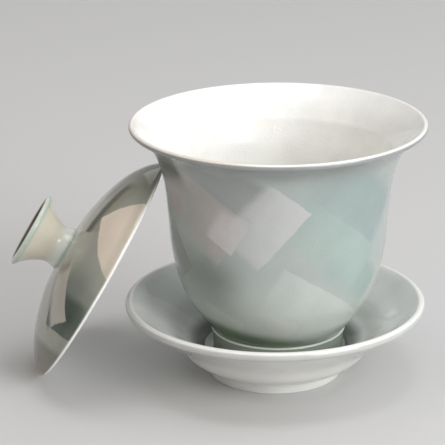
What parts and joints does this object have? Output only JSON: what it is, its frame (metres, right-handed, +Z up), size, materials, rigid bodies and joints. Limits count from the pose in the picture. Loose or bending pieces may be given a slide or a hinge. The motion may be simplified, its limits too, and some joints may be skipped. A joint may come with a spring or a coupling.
{
  "type": "gaiwan",
  "caption": "Flared glazed tea bowl standing in a footed saucer, with its domed, knobbed lid leaning against the bowl.",
  "frame": {"origin": "centre of the saucer's foot ring, on the table", "axes": "+Z up along the saucer's axis, +X from the leaning lid towards the bowl, -Y the front"},
  "size_m": [0.1418, 0.1028, 0.0892],
  "materials": {
    "saucer_glaze": "glossy pale celadon glaze, white at the rim",
    "cup_glaze": "glossy pale celadon glaze with overlapping soft-edged rectangles, white inside",
    "lid_glaze": "glossy grey-olive celadon glaze with overlapping rectangles",
    "knob_glaze": "glossy cream-green celadon glaze"
  },
  "bodies": {
    "saucer": {"saucer": "saucer_glaze"},
    "cup": {"cup": "cup_glaze"},
    "lid": {"lid": "lid_glaze", "lid_knob": "knob_glaze"}
  },
  "joints": [
    {"name": "cup_lift", "type": "slide", "parent": "saucer", "child": "cup", "axis": [0, 0, 1], "range_m": [0, 0.08]},
    {"name": "lid_lift", "type": "slide", "parent": "saucer", "child": "lid", "axis": [-0.8569, 0.0449, 0.5135], "range_m": [0, 0.1]}
  ]
}
